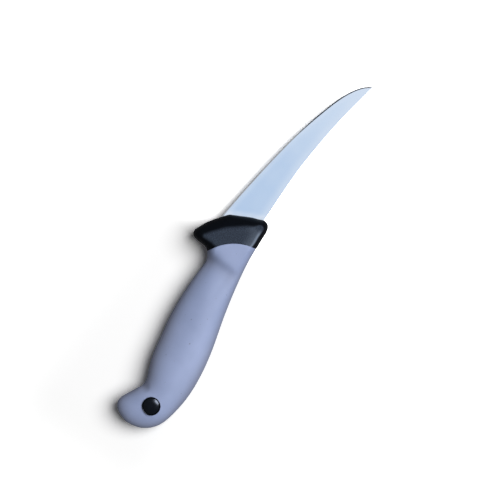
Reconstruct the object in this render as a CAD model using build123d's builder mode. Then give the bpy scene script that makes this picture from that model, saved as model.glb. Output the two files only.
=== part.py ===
from build123d import *
import os
from math import cos, radians, sin, sqrt

os.makedirs("parts", exist_ok=True)

# A curved fillet knife, lying on its flank. +X runs from the butt of the handle to the tip of
# the blade, +Y to the side of the cutting edge and +Z up. The origin is the middle of the
# knife's footprint. Lengths are millimetres. Names that end in share or shares are fractions
# of the sizes that they follow.

# Handle as a whole, from the butt to the nose of the collar
handle_length = 156.0
half_thickness = 10.0

# Soft grip: greatest width, and its skin over the flats and over the sides of the core
grip_width = 34.9
skin = 3.0
side_skin = 5.4

# Collar: length on the edge side and on the spine side, reach of the finger guard past the
# heel, the turn of its bevels, and the bulge of its seam with the grip
collar_length = 37.2
nose_run = 17.7
guard_reach = 8.9
bevel_turn = 62.0
seam_bulge = 4.0
seam_lap = 4.6

# Blade: reach past the collar, width at the heel, and its distance from the spine side
blade_reach = 110.5
blade_width = 23.1
blade_thickness = 2.2
spine_step = 6.0
edge_thickness = 0.3
edge_bevel = 0.8

# Tang: the part of the blade that the handle hides, and how far ahead of the plug it ends
tang_gap = 13.0
tang_width = 11.0
tang_hole = 5.0
heel_lap = 3.0

# Plug through the butt, of two halves that snap together
plug_from_butt = 18.0
plug_from_spine = 5.8
plug_radius = 5.9
plug_seat = 6.0
plug_height = 3.3
plug_rim = 0.9
plug_groove = 0.25
plug_crown = 0.4
plug_edge = 0.3
stem_radius = 3.7
stem_end = 2.0
stud_radius = 2.0
stud_length = 4.5
fit_clearance = 0.05

overrun = 5.0

# Places that follow from the sizes
overall_length = handle_length + blade_reach
heel_height = spine_step + blade_width
guard_height = heel_height + guard_reach
spine_bulge_share = -0.611
footprint_middle = (guard_height + spine_bulge_share * grip_width) / 2
mid = Plane(origin=(-overall_length / 2, -footprint_middle, half_thickness))

seam_spine = Vector(handle_length - nose_run, -0.029 * grip_width)
seam_edge = Vector(handle_length - collar_length, 0.675 * grip_width)
seam_ahead = (seam_edge - seam_spine).cross(Vector(0, 0, 1)).normalized()
seam_middle = (seam_spine + seam_edge) / 2 + seam_ahead * seam_bulge

# Blade: its back and its cutting edge in plan, which meet at the tip
heel_place = handle_length - 0.62 * collar_length
tang_length = heel_place - plug_from_butt - plug_radius - tang_gap
blade_run = overall_length - heel_place
tip_place = (overall_length, spine_step - 0.285 * blade_width)
back_shares = [
    (0.0, -0.03),
    (0.176, -0.013),
    (0.335, 0.022),
    (0.479, 0.034),
    (0.622, -0.008),
    (0.766, -0.084),
    (0.88, -0.175),
    (0.958, -0.246),
]
edge_shares = [
    (0.0, 1.009),
    (0.074, 1.0),
    (0.191, 0.951),
    (0.335, 0.865),
    (0.479, 0.763),
    (0.622, 0.63),
    (0.766, 0.436),
    (0.862, 0.269),
    (0.934, 0.076),
    (0.976, -0.107),
]


def blade_place(run_share, width_share):
    """Point of the blade's outline, from the heel and the back."""
    return (heel_place + run_share * blade_run, spine_step + width_share * blade_width)


with BuildLine() as blade_back:
    Spline([blade_place(*shares) for shares in back_shares] + [tip_place])

with BuildLine() as blade_edge:
    Spline([blade_place(*shares) for shares in edge_shares] + [tip_place])

# Each section is ground flat at one angle from the back to the bevel of the cutting edge
grind = (blade_thickness - edge_thickness) / (blade_width - edge_bevel)
tang_hole_shares = [0.4, 0.65, 0.9]
blade_station_shares = [0.0, 0.12, 0.28, 0.44, 0.6, 0.74, 0.86, 0.94, 0.98, 0.995]

with BuildPart() as blade:
    for share in blade_station_shares:
        foot = blade_back.line @ share
        span = (blade_edge.line @ share) - foot
        width = span.length
        ground = width - min(edge_bevel, width / 2)
        back = edge_thickness + grind * ground
        with BuildSketch(
            Plane(mid.from_local_coords(foot), x_dir=span, z_dir=span.cross(Vector(0, 0, 1)))
        ):
            with BuildLine():
                Polyline(
                    (0, -back / 2),
                    (ground, -edge_thickness / 2),
                    (width, 0),
                    (ground, edge_thickness / 2),
                    (0, back / 2),
                    close=True,
                )
            make_face()
    loft()

    # Tang, with the holes that the core is moulded through
    with BuildSketch(mid):
        with BuildLine() as tang_line:
            Spline(
                (heel_place + heel_lap, spine_step + 0.32 * blade_width),
                (heel_place - 0.24 * tang_length, 0.24 * grip_width),
                (heel_place - 0.6 * tang_length, 0.06 * grip_width),
                (heel_place - tang_length, -0.1 * grip_width),
            )
        trace(line_width=tang_width)
        with Locations([tang_line.line @ share for share in tang_hole_shares]):
            Circle(tang_hole / 2, mode=Mode.SUBTRACT)
    extrude(amount=blade_thickness / 2, both=True)

# Outline of the grip in plan: the spine side, and the edge side with its hooked butt. Both
# start at the end of the butt and run a little past the seam.
spine_side_shares = [
    (0.0, 0.037),
    (0.006, -0.127),
    (0.035, -0.352),
    (0.082, -0.497),
    (0.15, -0.572),
    (0.245, spine_bulge_share),
    (0.36, -0.582),
    (0.5, -0.47),
    (0.64, -0.306),
    (0.78, -0.165),
    (0.9, -0.07),
]
edge_side_shares = [
    (0.0, 0.037),
    (0.006, 0.127),
    (0.029, 0.303),
    (0.05, 0.364),
    (0.074, 0.385),
    (0.105, 0.363),
    (0.149, 0.292),
    (0.192, 0.222),
    (0.211, 0.189),
    (0.235, 0.185),
    (0.289, 0.249),
    (0.364, 0.352),
    (0.472, 0.435),
    (0.58, 0.512),
    (0.688, 0.561),
    (0.795, 0.583),
    (0.903, 0.583),
    (0.957, 0.592),
]
with BuildLine() as spine_side:
    Spline(
        [(run * seam_spine.X, side * grip_width) for run, side in spine_side_shares]
        + [seam_spine, seam_spine + Vector(seam_lap / seam_ahead.X, 0)]
    )

with BuildLine() as edge_side:
    Spline(
        [(run * seam_edge.X, side * grip_width) for run, side in edge_side_shares]
        + [seam_edge, seam_edge + seam_ahead * seam_lap]
    )

# Shares of the spine side, and the shares of the edge side that face them: squarely across
# the grip as far as the neck, and then turned to lie along the seam
facing_shares = [(0, 0), (0.17, 0.17), (0.297, 0.329), (0.521, 0.598), (0.808, 0.925)]
facing_shares += [(0.965, 0.967), (1, 1)]

# How much of the width is rounded: on the spine side at the butt, the palm and the seam, and
# on the edge side at the butt and the seam
spine_butt_share = 0.38
spine_palm_share = 0.26
spine_seam_share = 0.115
edge_butt_share = 0.37
edge_seam_share = 0.18

# Shares of the sides where the butt and its core start, and where the butt has its full
# thickness
butt_start_share = 0.0015
butt_end_share = 0.13
core_start_share = 0.075


def steps(start, end, count):
    """Even steps from one value, left out, to another."""
    return [start + (end - start) * step / count for step in range(1, count + 1)]


# Stations along both sides: closest round the butt and its hook, and closer again at the seam
station_shares = [0.0, 0.004, 0.012, 0.027, 0.048, 0.075]
station_shares += steps(0.075, 0.3, 13) + steps(0.3, 0.8, 10) + steps(0.8, 1, 6)
core_stations = [0.0] + steps(0, 0.3, 5) + steps(0.3, 1, 7)

# Turn of the rounded sides at each level, from the lower flat to the upper one
grip_turns = [-90] + steps(-90, 90, 12)


def ease(share, start, end):
    """Smooth step from 0 at one share to 1 at another."""
    reach = min(max((share - start) / (end - start), 0), 1)
    return reach * reach * (3 - 2 * reach)


def facing(share):
    """Share of the edge side that faces a share of the spine side."""
    for (low, low_facing), (high, high_facing) in zip(facing_shares, facing_shares[1:]):
        if share <= high:
            return low_facing + (high_facing - low_facing) * (share - low) / (high - low)
    return 1


def side_points(share, reach_share, inset):
    """Points of both sides at one station, as far out as the rounding reaches there."""
    low = spine_side.line @ share
    span = (edge_side.line @ facing(share)) - low
    spine_share = spine_butt_share
    spine_share += (spine_palm_share - spine_butt_share) * ease(share, 0.06, 0.4)
    spine_share += (spine_seam_share - spine_palm_share) * ease(share, 0.6, 0.95)
    edge_share = edge_butt_share
    edge_share += (edge_seam_share - edge_butt_share) * ease(share, 0.6, 0.95)
    spine_out = inset + spine_share * span.length * (1 - reach_share)
    edge_out = inset + edge_share * span.length * (1 - reach_share)
    across = span.normalized()
    return low + across * spine_out, low + span - across * edge_out


def outline_face(level, pairs):
    """Face at one level inside a curve through pairs of points of the two sides."""
    with BuildSketch(mid.offset(level)) as section:
        with BuildLine():
            Spline([edge for spine, edge in reversed(pairs)] + [spine for spine, edge in pairs])
            Line(*pairs[-1])
        make_face()
    return section.sketch


def grip_level(turn):
    """Face through the grip at the level that a turn of its rounding reaches."""
    butt_reach = butt_end_share - butt_start_share
    start = butt_start_share + butt_reach * abs(turn) / 90
    pairs = []
    for station in station_shares:
        share = start + (1 - start) * station
        end_turn = max(90 * min((share - butt_start_share) / butt_reach, 1), abs(turn))
        level_share = sin(radians(turn)) / sin(radians(end_turn)) if turn else 0
        pairs.append(side_points(share, sqrt(1 - min(level_share**2, 1)), 0))
    return outline_face(half_thickness * sin(radians(turn)), pairs)


# Side view of the grip: thinner at the butt and at the neck, fullest in the palm, and up
# again to the collar
rise_shares = [(-0.05, 0.93), (0.12, 0.93), (0.3, 0.99), (0.42, 1.02), (0.56, 0.99)]
rise_shares += [(0.69, 0.935), (0.74, 0.94), (0.775, 0.985), (0.82, 0.99), (1.0, 0.99)]

upper_side = [(run * handle_length, rise * half_thickness) for run, rise in rise_shares]
lower_side = [(run, -rise) for run, rise in upper_side]

with BuildPart() as side_view:
    with BuildSketch(Plane(mid.origin, x_dir=(1, 0, 0), z_dir=(0, -1, 0))):
        with BuildLine():
            Spline(upper_side)
            Spline(lower_side)
            Line(upper_side[0], lower_side[0])
            Line(upper_side[-1], lower_side[-1])
        make_face()
    extrude(amount=2 * grip_width, both=True)

# Collar in plan, clockwise from behind the seam: its outline at mid thickness and the border
# of its flat, from the nose and the spine side
collar_outline_shares = [
    ((0.278, -0.012), (0.295, 0.072)),
    ((0.114, 0.002), (0.165, 0.081)),
    ((0.031, 0.045), (0.117, 0.094)),
    ((0.0, 0.135), (0.117, 0.145)),
    ((0.025, 0.202), (0.15, 0.2)),
    ((0.071, 0.316), (0.217, 0.311)),
    ((0.181, 0.522), (0.346, 0.475)),
    ((0.283, 0.685), (0.466, 0.611)),
    ((0.41, 0.785), (0.578, 0.7)),
    ((0.587, 0.902), (0.69, 0.79)),
    ((0.75, 0.975), (0.771, 0.838)),
    ((0.845, 1.0), (0.814, 0.852)),
    ((0.915, 0.968), (0.848, 0.835)),
    ((0.943, 0.876), (0.856, 0.791)),
    ((0.949, 0.758), (0.86, 0.707)),
    ((0.962, 0.672), (0.864, 0.65)),
]


def collar_place(run_share, height_share):
    """Point of the collar's outline, back from the nose and out from the spine side."""
    return Vector(handle_length - run_share * collar_length, height_share * guard_height)


collar_pairs = [
    (seam_spine - Vector(seam_lap, 0), seam_spine + Vector(-seam_lap, 0.12 * grip_width)),
    (seam_spine, seam_spine + Vector(0, 0.095 * grip_width)),
]
collar_pairs += [(collar_place(*a), collar_place(*b)) for a, b in collar_outline_shares]
collar_pairs += [
    (seam_edge, seam_edge + Vector(0.131 * collar_length, -0.022 * guard_height)),
    (seam_edge - seam_ahead * seam_lap, seam_edge + Vector(0.11 * collar_length, -seam_lap)),
    (seam_middle - seam_ahead * 3 * seam_lap, seam_middle - seam_ahead * 3 * seam_lap),
]
bevel_level_shares = [-1, -0.84, -0.61, -0.32, 0, 0.32, 0.61, 0.84, 1]

# Everything on the collar's side of the seam
with BuildPart() as collar_side:
    with BuildSketch(mid):
        with BuildLine():
            ThreePointArc(seam_spine, seam_middle, seam_edge)
            Polyline(
                seam_edge,
                (seam_edge.X - overrun, seam_edge.Y),
                (seam_edge.X - overrun, guard_height + overrun),
                (handle_length + overrun, guard_height + overrun),
                (handle_length + overrun, seam_spine.Y - overrun),
                (seam_spine.X, seam_spine.Y - overrun),
                seam_spine,
            )
        make_face()
    extrude(amount=half_thickness + overrun, both=True)

# Collar with its finger guard: bevels that turn from upright to the flats
with BuildPart() as collar:
    for level_share in bevel_level_shares:
        turn = radians(bevel_turn * level_share)
        inset_share = (1 - cos(turn)) / (1 - cos(radians(bevel_turn)))
        level = half_thickness * sin(turn) / sin(radians(bevel_turn))
        with BuildSketch(mid.offset(level)):
            with BuildLine():
                Spline([a + (b - a) * inset_share for a, b in collar_pairs], periodic=True)
            make_face()
    loft(ruled=True)
    add(collar_side.part, mode=Mode.INTERSECT)

# Core before the blade and the plug are let in: the collar, and the part under the grip
core_shares = [core_start_share + (1 - core_start_share) * share for share in core_stations]
core_pairs = [side_points(share, 1, side_skin) for share in core_shares]
with BuildPart() as core_blank:
    loft(
        [
            outline_face(skin - half_thickness, core_pairs),
            outline_face(half_thickness - skin, core_pairs),
        ],
        ruled=True,
    )
    add(collar.part)

plug_place = Vector(plug_from_butt, -plug_from_spine)
with BuildPart() as handle_core:
    add(core_blank.part)
    add(blade.part, mode=Mode.SUBTRACT)
    with BuildSketch(mid):
        with Locations(plug_place):
            Circle(stem_radius + fit_clearance)
    extrude(amount=half_thickness, both=True, mode=Mode.SUBTRACT)
    with BuildSketch(mid.offset(plug_seat), mid.offset(-half_thickness)):
        with Locations(plug_place):
            Circle(plug_radius + fit_clearance)
    extrude(amount=half_thickness - plug_seat, mode=Mode.SUBTRACT)

# Soft grip, moulded over the core up to the seam
with BuildPart() as soft_grip:
    loft([grip_level(turn) for turn in grip_turns], ruled=True)
    add(side_view.part, mode=Mode.INTERSECT)
    add(collar_side.part, mode=Mode.SUBTRACT)
    add(core_blank.part, mode=Mode.SUBTRACT)
    with BuildSketch(mid):
        with Locations(plug_place):
            Circle(plug_radius + fit_clearance)
    extrude(amount=half_thickness + overrun, both=True, mode=Mode.SUBTRACT)

# Plug: a rimmed and domed head on each flank, with a stud on one stem and a socket in the other
plug_axis = Axis(mid.from_local_coords(plug_place), (0, 0, 1))
plug_profile = Plane(origin=plug_axis.position, x_dir=(1, 0, 0), z_dir=(0, -1, 0))
rim_top = plug_seat + plug_height
dome_foot = (plug_radius - plug_rim, rim_top - plug_groove)
crown_edge = (0.5 * plug_radius, rim_top - plug_groove + plug_crown)

with BuildPart() as plug_head:
    with BuildSketch(plug_profile):
        with BuildLine():
            Polyline(
                dome_foot,
                crown_edge,
                (0, crown_edge[1]),
                (0, stem_end),
                (stem_radius, stem_end),
                (stem_radius, plug_seat),
                (plug_radius, plug_seat),
                (plug_radius, rim_top - plug_edge),
                (plug_radius - plug_edge, rim_top),
                (plug_radius - plug_rim, rim_top),
                dome_foot,
            )
        make_face()
    revolve(axis=plug_axis)

with BuildPart() as plug_stud_half:
    add(plug_head.part)
    with BuildSketch(mid.offset(stem_end)):
        with Locations(plug_place):
            Circle(stud_radius)
    extrude(amount=-stud_length)

with BuildPart() as plug_socket_half:
    mirror(plug_head.part, about=mid)
    with BuildSketch(mid.offset(stem_end)):
        with Locations(plug_place):
            Circle(stem_radius)
    extrude(amount=-2 * stem_end)
    with BuildSketch(mid.offset(stem_end)):
        with Locations(plug_place):
            Circle(stud_radius + fit_clearance)
    extrude(amount=-stud_length - fit_clearance, mode=Mode.SUBTRACT)

for piece, name in [
    (blade, "blade"),
    (handle_core, "handle_core"),
    (soft_grip, "soft_grip"),
    (plug_stud_half, "plug_stud_half"),
    (plug_socket_half, "plug_socket_half"),
]:
    piece.part.label = name
    export_step(piece.part, f"parts/{name}.step")
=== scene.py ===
"""Looks of a curved fillet knife that lies on its flank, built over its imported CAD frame.

The grip, the collar, the blade and the two plug heads are modelled here from the same sizes
as the CAD solids, and each one stands for its solid. Lengths in the classes of the pieces are
millimetres, in the knife's own plan: x from the butt towards the tip, y towards the cutting
edge and z up from the middle of the thickness. The finished meshes, the finishes and the
studio are in metres, in the frame of the CAD.
"""

import logging
import math
from collections.abc import Callable, Sequence
from dataclasses import dataclass, field
from enum import Enum

import bmesh
import bpy
import numpy as np
from mathutils import Color, Matrix, Vector


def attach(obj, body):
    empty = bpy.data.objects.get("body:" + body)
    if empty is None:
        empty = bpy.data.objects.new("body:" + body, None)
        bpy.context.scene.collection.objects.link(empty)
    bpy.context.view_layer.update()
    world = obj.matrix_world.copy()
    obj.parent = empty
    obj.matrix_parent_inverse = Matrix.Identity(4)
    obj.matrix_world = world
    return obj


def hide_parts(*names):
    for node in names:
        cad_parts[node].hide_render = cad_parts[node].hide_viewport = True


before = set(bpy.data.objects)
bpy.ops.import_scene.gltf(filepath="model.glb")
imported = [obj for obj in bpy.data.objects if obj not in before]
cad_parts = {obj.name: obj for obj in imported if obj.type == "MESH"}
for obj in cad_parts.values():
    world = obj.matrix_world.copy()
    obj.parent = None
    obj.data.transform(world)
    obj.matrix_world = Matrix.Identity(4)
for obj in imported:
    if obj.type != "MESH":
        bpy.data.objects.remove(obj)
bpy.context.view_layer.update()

log = logging.getLogger("fillet_knife")

MILLIMETRE = 0.001
SAME_POINT = 0.0005  # Distance in millimetres under which points of a skin are one.

Point = tuple[float, float]
Span = tuple[float, float]  # Where a smooth step starts and where it ends.
Noise = tuple[float, float]  # Cells in a metre, and the number of finer layers on them.
Relief = tuple[float, float]  # Depth in metres, and the share of it that shows.
Colour = tuple[float, float, float, float]
Term = "Value | float"  # What the sums of shader values take.


class Slot(Enum):
    """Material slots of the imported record."""

    GRIP = "grip_rubber"
    CORE = "core_plastic"
    PLUG = "plug_plastic"
    BLADE = "blade_steel"


class Mark(Enum):
    """Marks that a piece carries at its points for its finish."""

    PANEL = "panel_share"
    # painted highlight along the collar panel's border by the spine
    WORN = "painted_highlight_share"
    FROM_BACK = "millimetres_from_back"
    FROM_EDGE = "millimetres_from_edge"
    FROM_COLLAR = "millimetres_from_collar"


class Flank(Enum):
    """The two flanks of the knife, by the direction that they face."""

    UPPER = 1
    LOWER = -1


def paint(red: int, green: int, blue: int) -> Colour:
    """Linear colour for a shader, from the parts of 0 to 255 that a screen shows."""
    linear = Color((red / 255, green / 255, blue / 255)).from_srgb_to_scene_linear()
    return (linear.r, linear.g, linear.b, 1.0)


def ease(place: float, start: float, end: float) -> float:
    """Smooth step at a place, from 0 at its start to 1 at its end."""
    reach = min(max((place - start) / (end - start), 0.0), 1.0)
    return reach * reach * (3 - 2 * reach)


def mix(low: float, high: float, share: float) -> float:
    """Value a share of the way from one number to another."""
    return low + (high - low) * share


class SmoothLine:
    """A smooth curve in plan through given points, read by its share of the way along."""

    def __init__(self, points: Sequence[Point]) -> None:
        """Fits the curve.

        Args:
            points: Points that the curve passes through, in order.
        """
        self.spots = np.array(points, dtype=float)
        gaps = np.linalg.norm(np.diff(self.spots, axis=0), axis=1)
        self.knots = np.concatenate([[0.0], np.cumsum(gaps)]) / gaps.sum()
        self.bends = self._bends()

    def _bends(self) -> np.ndarray:
        """Finds the bend of the curve at each point, with none at its ends.

        Returns:
            The bends, one row for each point.
        """
        count = len(self.knots)
        steps = np.diff(self.knots)
        system = np.eye(count)
        pull = np.zeros_like(self.spots)
        for spot in range(1, count - 1):
            before, after = steps[spot - 1], steps[spot]
            system[spot, spot - 1 : spot + 2] = before, 2 * (before + after), after
            rise = (self.spots[spot + 1] - self.spots[spot]) / after
            fall = (self.spots[spot] - self.spots[spot - 1]) / before
            pull[spot] = 6 * (rise - fall)
        return np.linalg.solve(system, pull)

    def at(self, share: float) -> Vector:
        """Reads a point of the curve.

        Args:
            share: Share of the way along, from 0 to 1.

        Returns:
            The point, with a height of 0.
        """
        spot = int(np.clip(np.searchsorted(self.knots, share) - 1, 0, len(self.knots) - 2))
        step = self.knots[spot + 1] - self.knots[spot]
        left = (self.knots[spot + 1] - share) / step
        right = 1 - left
        bend = (left**3 - left) * self.bends[spot] + (right**3 - right) * self.bends[spot + 1]
        place = left * self.spots[spot] + right * self.spots[spot + 1] + bend * step**2 / 6
        return Vector((place[0], place[1], 0.0))

    def share_of(self, number: float) -> float:
        """Share at which the curve passes a point, by the point's number in the list."""
        return float(np.interp(number, np.arange(len(self.knots)), self.knots))

    def number_of(self, share: float) -> float:
        """Number of the point that the curve passes at a share."""
        return float(np.interp(share, self.knots, np.arange(len(self.knots))))

    def readings(self, count: int) -> np.ndarray:
        """Points of the curve in plan, a number of steps along it."""
        return np.array([self.at(step / count)[:2] for step in range(count + 1)])


def wrap_skin(rings: Sequence[Sequence[Vector]]) -> bmesh.types.BMesh:
    """Pulls a flat grid into a skin over rings of points.

    Args:
        rings: Points of each ring, in order round it, in millimetres.

    Returns:
        The skin, with its doubles merged and its open ends filled.
    """
    rows, columns = len(rings) - 1, len(rings[0])
    skin = bmesh.new()
    bmesh.ops.create_grid(skin, x_segments=rows, y_segments=columns, size=1.0)
    for vert in skin.verts:
        row = round((vert.co.x + 1) / 2 * rows)
        column = round((vert.co.y + 1) / 2 * columns)
        vert.co = rings[row][column % columns]
    bmesh.ops.remove_doubles(skin, verts=skin.verts, dist=SAME_POINT)
    ends = [edge for edge in skin.edges if edge.is_boundary]
    bmesh.ops.holes_fill(skin, edges=ends, sides=0)
    return skin


def set_mark(
    skin: bmesh.types.BMesh, mark: Mark, measure: Callable[[Vector], float]
) -> None:
    """Marks every point of a skin for its finish.

    Args:
        skin: The skin.
        mark: The mark.
        measure: Gives the mark's value at a place.
    """
    layer = skin.verts.layers.float.new(mark.value)
    for vert in skin.verts:
        vert[layer] = measure(vert.co)


def reach_from(line: np.ndarray, place: Vector) -> float:
    """Distance in plan from a place to the nearest point of a line."""
    return float(np.linalg.norm(line - np.array(place[:2]), axis=1).min())


@dataclass(frozen=True)
class KnifePlan:
    """Sizes that the pieces share, as in the CAD part."""

    handle_length: float = 156.0
    half_thickness: float = 10.0
    grip_width: float = 34.9
    collar_length: float = 37.2
    nose_run: float = 17.7
    guard_reach: float = 8.9
    seam_bulge: float = 4.0
    seam_lap: float = 4.6
    blade_reach: float = 110.5
    blade_width: float = 23.1
    spine_step: float = 6.0
    spine_bulge_share: float = -0.611
    seam_spine_share: float = -0.029
    seam_edge_share: float = 0.675

    @property
    def overall_length(self) -> float:
        """Length from the butt to the tip."""
        return self.handle_length + self.blade_reach

    @property
    def guard_height(self) -> float:
        """Height of the finger guard over the spine side."""
        return self.spine_step + self.blade_width + self.guard_reach

    @property
    def seam_spine(self) -> Vector:
        """End of the seam on the spine side."""
        height = self.seam_spine_share * self.grip_width
        return Vector((self.handle_length - self.nose_run, height, 0.0))

    @property
    def seam_edge(self) -> Vector:
        """End of the seam on the edge side."""
        height = self.seam_edge_share * self.grip_width
        return Vector((self.handle_length - self.collar_length, height, 0.0))

    @property
    def seam_ahead(self) -> Vector:
        """Direction from the grip to the collar, square to the seam."""
        return (self.seam_edge - self.seam_spine).cross(Vector((0, 0, 1))).normalized()

    def bow(self, across: float) -> float:
        """How far the seam stands ahead of its chord, at a share of the way across."""
        return 4 * self.seam_bulge * across * (1 - across)

    def seam(self, across: float) -> Vector:
        """Point of the curved seam, by its share of the way from the spine side."""
        chord = self.seam_edge - self.seam_spine
        return self.seam_spine + chord * across + self.seam_ahead * self.bow(across)

    def past_seam(self, place: Vector) -> tuple[float, float]:
        """Measures a point against the seam.

        Args:
            place: Point in plan.

        Returns:
            How far it is past the seam, and its share of the way across.
        """
        chord = self.seam_edge - self.seam_spine
        reach = place - self.seam_spine
        across = reach.dot(chord) / chord.length_squared
        return reach.dot(self.seam_ahead) - self.bow(across), across

    def into_frame(self) -> Matrix:
        """Places the knife's plan, in millimetres, in the frame of the CAD, in metres.

        Returns:
            The transform.
        """
        middle = (self.guard_height + self.spine_bulge_share * self.grip_width) / 2
        move = Matrix.Translation((-self.overall_length / 2, -middle, self.half_thickness))
        return Matrix.Scale(MILLIMETRE, 4) @ move


class Value:
    """A shader socket that takes part in Python sums, each of which adds a Math node."""

    def __init__(self, sheet: "Sheet", socket: bpy.types.NodeSocket) -> None:
        """Wraps an output socket of a sheet's node."""
        self.sheet = sheet
        self.socket = socket

    def _math(self, operation: str, first: Term, second: Term) -> "Value":
        """Adds a Math node and gives its result."""
        values = {0: first, 1: second}
        return self.sheet.node("ShaderNodeMath", {"operation": operation}, values)["Value"]

    def __add__(self, other: Term) -> "Value":
        """Adds a value or a number."""
        return self._math("ADD", self, other)

    def __sub__(self, other: Term) -> "Value":
        """Takes a value or a number away."""
        return self._math("SUBTRACT", self, other)

    def __rsub__(self, other: Term) -> "Value":
        """Is taken away from a number."""
        return self._math("SUBTRACT", other, self)

    def __mul__(self, other: Term) -> "Value":
        """Multiplies by a value or a number."""
        return self._math("MULTIPLY", self, other)

    __radd__ = __add__
    __rmul__ = __mul__

    def __abs__(self) -> "Value":
        """Drops the sign."""
        return self._math("ABSOLUTE", self, 0.0)

    def rise(self, low: float, high: float) -> "Value":
        """Makes a smooth step.

        Args:
            low: Value at which the step is 0.
            high: Value at which the step is 1.

        Returns:
            The step.
        """
        smooth = {"interpolation_type": "SMOOTHSTEP"}
        values = {"Value": self, "From Min": low, "From Max": high}
        return self.sheet.node("ShaderNodeMapRange", smooth, values)["Result"]

    def fall(self, low: float, high: float) -> "Value":
        """Smooth step from 1 at the low value to 0 at the high one."""
        return 1 - self.rise(low, high)


class Sheet:
    """The nodes of one material or world."""

    def __init__(self, owner: bpy.types.Material | bpy.types.World) -> None:
        """Clears the owner's nodes.

        Args:
            owner: Material or world that the nodes belong to.
        """
        owner.use_nodes = True
        self.tree = owner.node_tree
        self.tree.nodes.clear()

    def node(self, kind: str, settings: dict, values: dict) -> dict[str, Value]:
        """Adds a node.

        Args:
            kind: The node's type.
            settings: Its properties, set first.
            values: Numbers, colours or links for its inputs, by name or number.

        Returns:
            The node's outputs by name.
        """
        made = self.tree.nodes.new(kind)
        for name, setting in settings.items():
            setattr(made, name, setting)
        for name, value in values.items():
            if isinstance(value, Value):
                self.tree.links.new(value.socket, made.inputs[name])
            else:
                made.inputs[name].default_value = value
        return {socket.name: Value(self, socket) for socket in made.outputs if socket.enabled}

    def place(self, turn: float = 0.0, stretch: float = 1.0) -> Value:
        """Object coordinates, turned and drawn out for a pattern.

        Args:
            turn: Turn of the pattern about the upright, in degrees.
            stretch: How many times as long its cells are along the turned first axis.

        Returns:
            The coordinates.
        """
        values = {
            "Vector": self.node("ShaderNodeTexCoord", {}, {})["Object"],
            "Rotation": (0.0, 0.0, math.radians(turn)),
            "Scale": (stretch, 1.0, 1.0),
        }
        return self.node("ShaderNodeMapping", {"vector_type": "TEXTURE"}, values)["Vector"]

    def parts(self, place: Value) -> dict[str, Value]:
        """The coordinates' X, Y and Z."""
        return self.node("ShaderNodeSeparateXYZ", {}, {"Vector": place})

    def mark(self, mark: Mark) -> Value:
        """Reads a mark that the piece carries at its points."""
        return self.node("ShaderNodeAttribute", {"attribute_name": mark.value}, {})["Fac"]

    def noise(self, place: Value, cells: float, layers: float) -> Value:
        """Soft random pattern between 0 and 1, by its cells in a metre and finer layers."""
        values = {"Vector": place, "Scale": cells, "Detail": layers}
        return self.node("ShaderNodeTexNoise", {}, values)["Fac"]

    def blend(self, share: Value, low: Colour | Value, high: Colour | Value) -> Value:
        """Colour at a share of the way from one to another, inputs 6 and 7 of its node."""
        values = {0: share, 6: low, 7: high}
        return self.node("ShaderNodeMix", {"data_type": "RGBA"}, values)["Result"]

    def bump(self, height: Value, depth: float, shown: float) -> Value:
        """Normal of a surface with a fine relief, of which a share is shown."""
        values = {"Height": height, "Distance": depth, "Strength": shown}
        return self.node("ShaderNodeBump", {}, values)["Normal"]

    def surface(self, values: dict) -> Value:
        """Surface shader, from the numbers, colours or links for its inputs."""
        return self.node("ShaderNodeBsdfPrincipled", {}, values)["BSDF"]

    def either(self, share: Value, first: Value, second: Value) -> Value:
        """Shader at a share of the way from one to another."""
        return self.node("ShaderNodeMixShader", {}, {0: share, 1: first, 2: second})["Shader"]


class Finish:
    """A named material, from the shader that its kind of finish lays out."""

    name: str

    def shader(self, sheet: Sheet) -> Value:
        """Lays out the finish on a sheet and gives its last shader."""
        raise NotImplementedError

    def make(self) -> bpy.types.Material:
        """Builds the material.

        Returns:
            The material.
        """
        material = bpy.data.materials.new(self.name)
        sheet = Sheet(material)
        sheet.node("ShaderNodeOutputMaterial", {}, {"Surface": self.shader(sheet)})
        return material


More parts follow.
